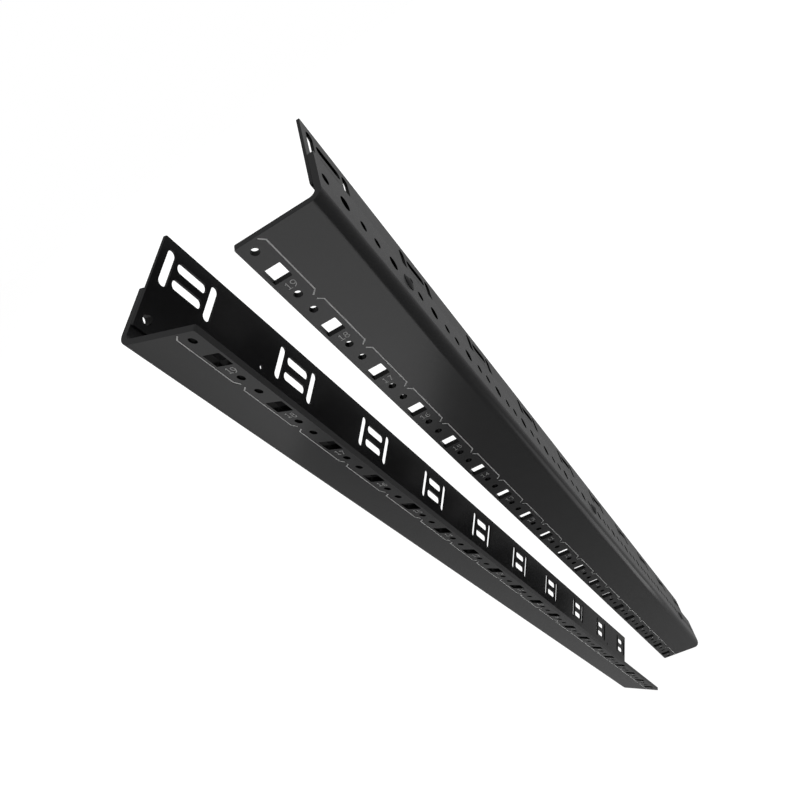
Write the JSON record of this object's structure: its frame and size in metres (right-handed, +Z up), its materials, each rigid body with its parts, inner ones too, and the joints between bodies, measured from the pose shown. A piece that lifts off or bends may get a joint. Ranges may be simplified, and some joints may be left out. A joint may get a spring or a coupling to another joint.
{
  "type": "rack mounting rail pair",
  "caption": "Mirrored pair of black vertical rack rails: bent angles with square and round holes in rack units, and slotted strips riveted inside the side flanges.",
  "frame": {"origin": "bottom centre of the box around the two upright rails, on the plane of their bottom ends", "axes": "+Z up along both rails from unit 1 to unit 19; the right rail's face looks towards -Y and its side flange towards +X; the left rail is its mirror image turned clockwise about +Z"},
  "size_m": [0.1128, 0.0954, 0.8446],
  "materials": {
    "rail_coat": "semi-matte black powder coat",
    "strip_coat": "semi-matte black powder coat",
    "rivet_coat": "satin black coat"
  },
  "bodies": {
    "root": {"right_rail": "rail_coat", "right_slotted_strip": "strip_coat", "right_rivet_low": "rivet_coat", "right_rivet_mid": "rivet_coat", "right_rivet_high": "rivet_coat", "left_rail": "rail_coat", "left_slotted_strip": "strip_coat", "left_rivet_low": "rivet_coat", "left_rivet_mid": "rivet_coat", "left_rivet_high": "rivet_coat"}
  },
  "joints": []
}
